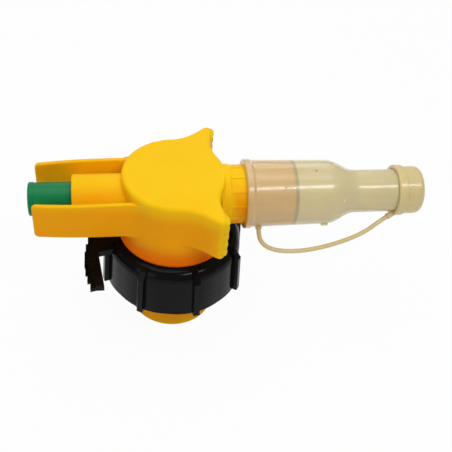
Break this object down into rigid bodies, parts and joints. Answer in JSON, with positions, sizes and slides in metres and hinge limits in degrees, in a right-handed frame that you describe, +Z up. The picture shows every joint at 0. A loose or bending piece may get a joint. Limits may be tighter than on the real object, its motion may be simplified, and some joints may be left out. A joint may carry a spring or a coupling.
{
  "type": "pour spout",
  "caption": "Self-closing thumb-press canister tap with a screw nut, finger ears and a translucent pouring spout with a tethered cap.",
  "frame": {"origin": "centre of the neck's end face, which goes into the canister", "axes": "+X along the spout towards its cap, +Z up the neck's axis, away from the canister"},
  "size_m": [0.1985, 0.0757, 0.092],
  "materials": {
    "yellow_plastic": "satin moulded",
    "green_plastic": "satin moulded",
    "black_plastic": "semi-gloss moulded",
    "cream_plastic": "translucent",
    "cap_plastic": "satin moulded",
    "white_plastic": "matt moulded",
    "black_rubber": "matt",
    "grey_rubber": "matt",
    "spring_steel": "drawn wire"
  },
  "bodies": {
    "tap": {"tap_body": "yellow_plastic", "inlet_neck": "yellow_plastic", "neck_seal": "black_rubber", "neck_gasket": "grey_rubber", "button_wiper": "black_rubber", "gland_washer": "white_plastic", "stem_seal": "black_rubber", "stem_guide": "white_plastic", "return_spring": "spring_steel", "vent_tube": "white_plastic", "outlet_seal": "black_rubber", "spout_sleeve": "cream_plastic", "cap_tether": "cream_plastic"},
    "plunger": {"push_button": "green_plastic", "valve_stem": "white_plastic", "valve_seal": "black_rubber", "valve_head": "white_plastic", "head_clip": "spring_steel"},
    "nut": {"screw_nut": "black_plastic"},
    "cap": {"spout_cap": "cap_plastic"}
  },
  "joints": [
    {"name": "button_press", "type": "slide", "parent": "tap", "child": "plunger", "axis": [1, 0, 0], "range_m": [0, 0.012], "stiffness_N_per_m": 900, "springref_m": -0.006, "deforming": ["return_spring"]},
    {"name": "nut_turn", "type": "hinge", "parent": "tap", "child": "nut", "pos_m": [0, 0, 0.038], "axis": [0, 0, 1], "continuous": true},
    {"name": "cap_pull", "type": "slide", "parent": "tap", "child": "cap", "axis": [1, 0, 0], "range_m": [0, 0.018], "deforming": ["cap_tether"]}
  ]
}
